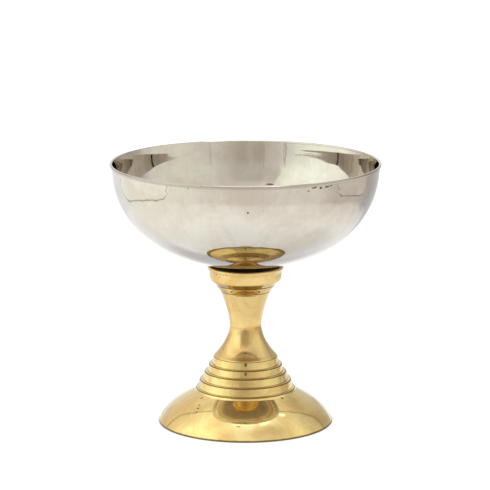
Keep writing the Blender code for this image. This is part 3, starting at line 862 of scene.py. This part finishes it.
# two small lamps, seams of the tent at both back corners, the edges of its opening, the camera
lamp = g.mul(g.band(comp, (180 + 78) / 360, 0.035, 0.06), g.band(elev, 76.0, 2.5, 5.0))
sky = g.mix(lamp, sky, c_(6.5 / SKY))
lamp = g.mul(g.band(comp, (180 + 119) / 360, 0.004, 0.012), g.band(elev, 60.0, 0.8, 2.5))
sky = g.mix(lamp, sky, c_(2.6 / SKY))
seam = g.most(g.band(comp, (180 - 130.5) / 360, 0.0008, 0.006), g.band(comp, (180 + 129.5) / 360, 0.0008, 0.006))
seam = g.mul(seam, g.mul(g.smooth(elev, 2.0, 10.0), g.smooth(elev, 58.0, 70.0, 1.0, 0.0)))
sky = g.mix(g.mul(seam, 0.60), sky, (0.20, 0.15, 0.08))
slit = g.most(g.band(comp, (180 - 35.5) / 360, 0.0006, 0.003), g.mul(g.band(comp, (180 + 32.0) / 360, 0.0006, 0.003), 0.4))
slit = g.mul(slit, g.smooth(elev, 12.0, 24.0, 1.0, 0.0))
sky = g.mix(g.mul(slit, 0.45), sky, (0.18, 0.14, 0.10))
path = g.nodes.new("ShaderNodeLightPath")
lens = g.mul(g.band(comp, 0.5, 0.0040, 0.003), g.band(elev, 12.0, 8.0, 2.0))
lens = g.mul(lens, g.math("GREATER_THAN", path.outputs["Ray Depth"], 2.5))
sky = g.mix(lens, sky, (0.01, 0.008, 0.006))
lit = g.nodes.new("ShaderNodeVectorMath")
lit.operation = "SCALE"
g.put(lit.inputs[0], sky)
lit.inputs["Scale"].default_value = SKY
g.put(bg.inputs["Color"], g.mix(path.outputs["Is Camera Ray"], lit.outputs[0], (1, 1, 1)))
bg.inputs["Strength"].default_value = 1.0

floor_mesh = bpy.data.meshes.new("floor")
floor_mesh.from_pydata([(-6, -6, -0.0001), (6, -6, -0.0001), (6, 6, -0.0001), (-6, 6, -0.0001)], [], [(0, 1, 2, 3)])
floor = bpy.data.objects.new("floor", floor_mesh)
scene.collection.objects.link(floor)
fm = bpy.data.materials.new("floor_paper")
fm.use_nodes = True
g = Graph(fm.node_tree)
for n in list(g.nodes):
    g.nodes.remove(n)
pos = g.nodes.new("ShaderNodeTexCoord").outputs["Object"]
fx, fy, fz = g.split(pos)
rho = g.math("SQRT", g.add(g.mul(fx, fx), g.mul(fy, fy)))
wave = g.sub(g.noise(pos, 9.0, 3.0, 0.55), 0.5)
way = compass(g, fx, fy)
# the floor as the mirrors see it: a painted light map, brighter and darker by direction and distance, which the
# floor also glows with
near = g.ramp(way, around([(-180, c_(.85, COOL)), (-150, c_(.82, COOL)), (-127, (.90, .90, .98)), (-100, (1.34, 1.38, 1.42)),
                           (-60, (1.30, 1.34, 1.33)), (0, (1.19, 1.21, 1.23)), (60, (1.18, 1.19, 1.18)), (100, (1.12, 1.15, 1.19)),
                           (127, (1.10, 1.15, 1.22)), (150, c_(.92, COOL)), (179, c_(.85, COOL))]))
far = g.ramp(way, around([(-180, c_(1.18, COOL)), (-150, c_(1.0, COOL)), (-127, (1.15, 1.21, 1.24)), (-100, (1.30, 1.35, 1.30)),
                          (-80, (1.30, 1.34, 1.26)), (-54, (1.18, 1.19, 1.12)), (-28, (1.11, 1.10, 1.05)), (0, (1.02, .985, .95)),
                          (28, (1.05, 1.03, 1.0)), (54, (1.07, 1.06, 1.03)), (80, (.81, .77, .72)), (104, (.76, .71, .68)),
                          (130, (.60, .58, .60)), (152, (.64, .63, .68)), (179, c_(1.15, COOL))]))
spread = g.add(rho, g.mul(wave, 0.10))
painted_light_map = g.mix(g.smooth(spread, 0.13, 0.30), near, far)
# a painted bright ring round the stand
painted_light_map = g.mix(g.mul(g.band(spread, 0.22, 0.05, 0.07), 0.4), painted_light_map, (1.45 / SKY, 1.46 / SKY, 1.42 / SKY))


def panel(centre, width, nearest, rise):
    """Distance beyond the foot of a side wall of the tent, which curves away at its ends."""
    w = g.mul(g.math("ABSOLUTE", g.sub(way, (180 + centre) / 360)), 360 / width)
    w4 = g.mul(g.mul(w, w), g.mul(w, w))
    return g.sub(spread, g.add(g.mul(g.mul(w4, w4), rise), nearest))


# painted light of the tent's side walls on the floor, bright on the left and dim on the right, each with a painted
# dark seam at its foot
for centre, width, nearest, rise, tone in ((-97, 31, 0.340, 0.12, (1.30, 1.35, 1.25)), (100, 21, 0.40, 0.10, (.84, .80, .75))):
    d = panel(centre, width, nearest, rise)
    inside = g.smooth(d, -0.004, 0.012)
    painted_light_map = g.mix(g.mul(inside, 0.8), painted_light_map, tuple(q / SKY for q in tone))
    painted_light_map = g.mix(g.mul(g.band(d, 0.0, 0.004, 0.010), 0.62), painted_light_map, (0.16, 0.12, 0.09))
path = g.nodes.new("ShaderNodeLightPath")
again = g.math("GREATER_THAN", path.outputs["Ray Depth"], 1.5)        # seen by way of two mirrors
# painted shadow of the stand on the floor near it and painted extra light far out, only in rays that came by two
# mirrors
painted_shade_and_light = g.sub(1.0, g.mul(again, g.smooth(rho, 0.13, 0.30, 0.60, 0.14)))
painted_shade_and_light = g.add(painted_shade_and_light, g.mul(again, g.smooth(rho, 0.8, 1.2, 0.0, 0.50)))
shade = g.nodes.new("ShaderNodeVectorMath")
shade.operation = "SCALE"
g.put(shade.inputs[0], painted_light_map)
g.put(shade.inputs["Scale"], painted_shade_and_light)
# painted warm bounce light on the near floor, in the same rays
painted_warm_bounce = g.nodes.new("ShaderNodeVectorMath")
painted_warm_bounce.operation = "MULTIPLY"
g.put(painted_warm_bounce.inputs[0], shade.outputs[0])
g.put(painted_warm_bounce.inputs[1], g.mix(g.mul(again, g.smooth(rho, 0.3, 0.8, 1.0, 0.0)), (1.0, 1.0, 1.0), (1.04, 0.90, 0.80)))
painted_light_map = painted_warm_bounce.outputs[0]
lit = g.nodes.new("ShaderNodeVectorMath")
lit.operation = "SCALE"
g.put(lit.inputs[0], painted_light_map)
lit.inputs["Scale"].default_value = SKY
matte = g.nodes.new("ShaderNodeVectorMath")
matte.operation = "SCALE"
g.put(matte.inputs[0], painted_light_map)
matte.inputs["Scale"].default_value = SKY * 0.50
bounce = g.nodes.new("ShaderNodeBsdfDiffuse")
g.put(bounce.inputs["Color"], matte.outputs[0])
self_lit = g.nodes.new("ShaderNodeEmission")
g.put(self_lit.inputs["Color"], lit.outputs[0])
self_lit.inputs["Strength"].default_value = 0.42
seen = g.nodes.new("ShaderNodeAddShader")
g.links.new(bounce.outputs[0], seen.inputs[0])
g.links.new(self_lit.outputs[0], seen.inputs[1])
glow = g.nodes.new("ShaderNodeEmission")
glow.inputs["Color"].default_value = (1, 1, 1, 1)
glow.inputs["Strength"].default_value = 0.74
soft = g.nodes.new("ShaderNodeBsdfDiffuse")
soft.inputs["Color"].default_value = (0.32, 0.32, 0.32, 1)
both = g.nodes.new("ShaderNodeAddShader")
g.links.new(glow.outputs[0], both.inputs[0])
g.links.new(soft.outputs[0], both.inputs[1])
pick = g.nodes.new("ShaderNodeMixShader")
path = g.nodes.new("ShaderNodeLightPath")
g.links.new(path.outputs["Is Camera Ray"], pick.inputs[0])
g.links.new(seen.outputs[0], pick.inputs[1])
g.links.new(both.outputs[0], pick.inputs[2])
out = g.nodes.new("ShaderNodeOutputMaterial")
g.links.new(pick.outputs[0], out.inputs[0])
floor_mesh.materials.append(fm)

cam_data = bpy.data.cameras.new("camera")
cam = bpy.data.objects.new("camera", cam_data)
scene.collection.objects.link(cam)
cam_data.sensor_width = 36.0
cam_data.lens = 2749.55 / 490.0 * 36.0
cam_data.clip_end = 60.0
cam.location = (0.0, -1.49395, 0.40730)
cam.rotation_euler = (math.radians(90.0 - 11.620768), 0.0, 0.0)
cam_data.shift_x = -(245.486 - 245.0) / 490.0
scene.camera = cam
